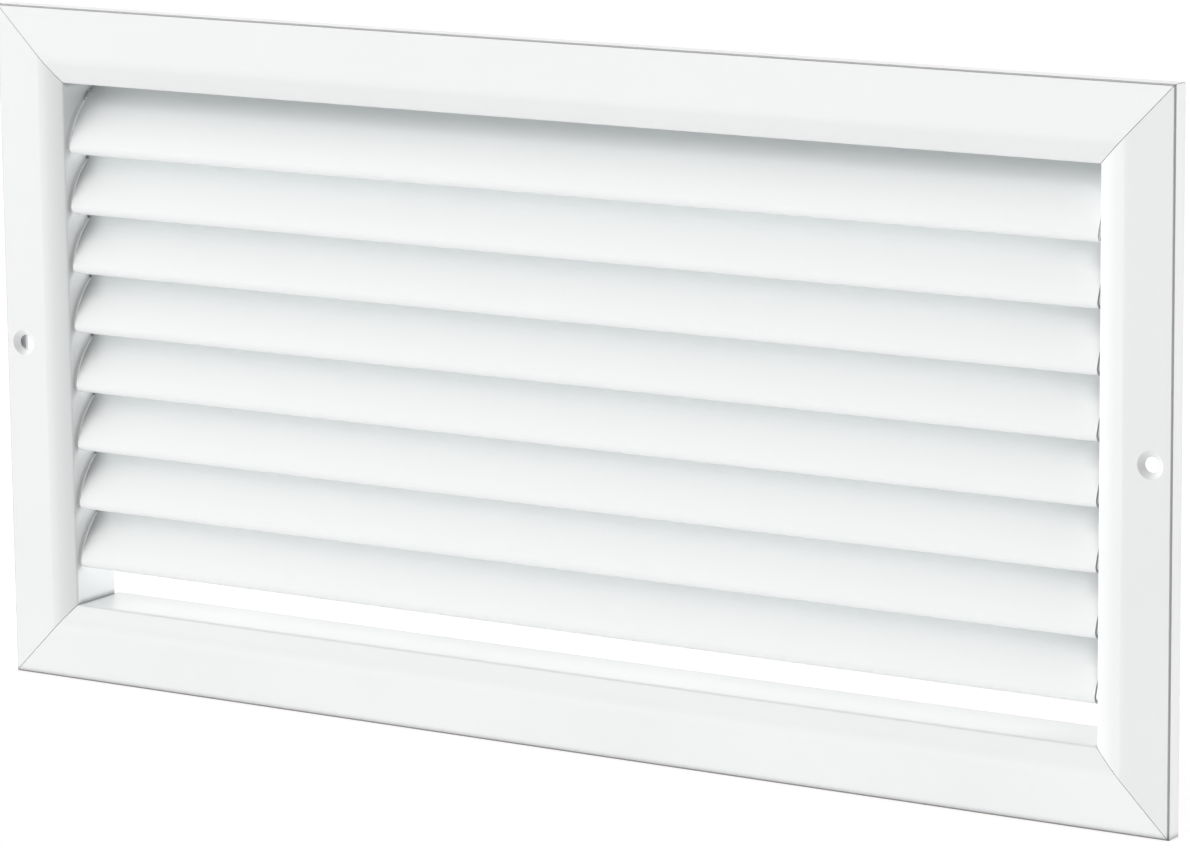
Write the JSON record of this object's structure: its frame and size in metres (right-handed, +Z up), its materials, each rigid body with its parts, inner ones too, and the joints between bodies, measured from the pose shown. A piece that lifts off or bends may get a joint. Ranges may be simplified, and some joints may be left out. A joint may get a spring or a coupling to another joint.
{
  "type": "louvred vent grille",
  "caption": "White louvred air grille: a mitred flange and neck of extrusions round fixed curved blades, with countersunk screw holes, to cover a duct opening in a wall.",
  "frame": {"origin": "middle of the opening, on the wall's face, where the flange's rim meets it", "axes": "+X to the right seen from the room, +Y into the wall, +Z up"},
  "size_m": [0.45, 0.0255, 0.235],
  "materials": {
    "frame_coat": "satin white powder coat on aluminium",
    "blade_coat": "satin white powder coat on aluminium",
    "key_steel": "zinc-plated pressed steel"
  },
  "bodies": {
    "root": {"frame_top": "frame_coat", "frame_bottom": "frame_coat", "frame_left": "frame_coat", "frame_right": "frame_coat", "corner_key_lower_left": "key_steel", "corner_key_lower_right": "key_steel", "corner_key_upper_left": "key_steel", "corner_key_upper_right": "key_steel", "louvre_blade_1": "blade_coat", "louvre_blade_2": "blade_coat", "louvre_blade_3": "blade_coat", "louvre_blade_4": "blade_coat", "louvre_blade_5": "blade_coat", "louvre_blade_6": "blade_coat", "louvre_blade_7": "blade_coat", "louvre_blade_8": "blade_coat"}
  },
  "joints": []
}
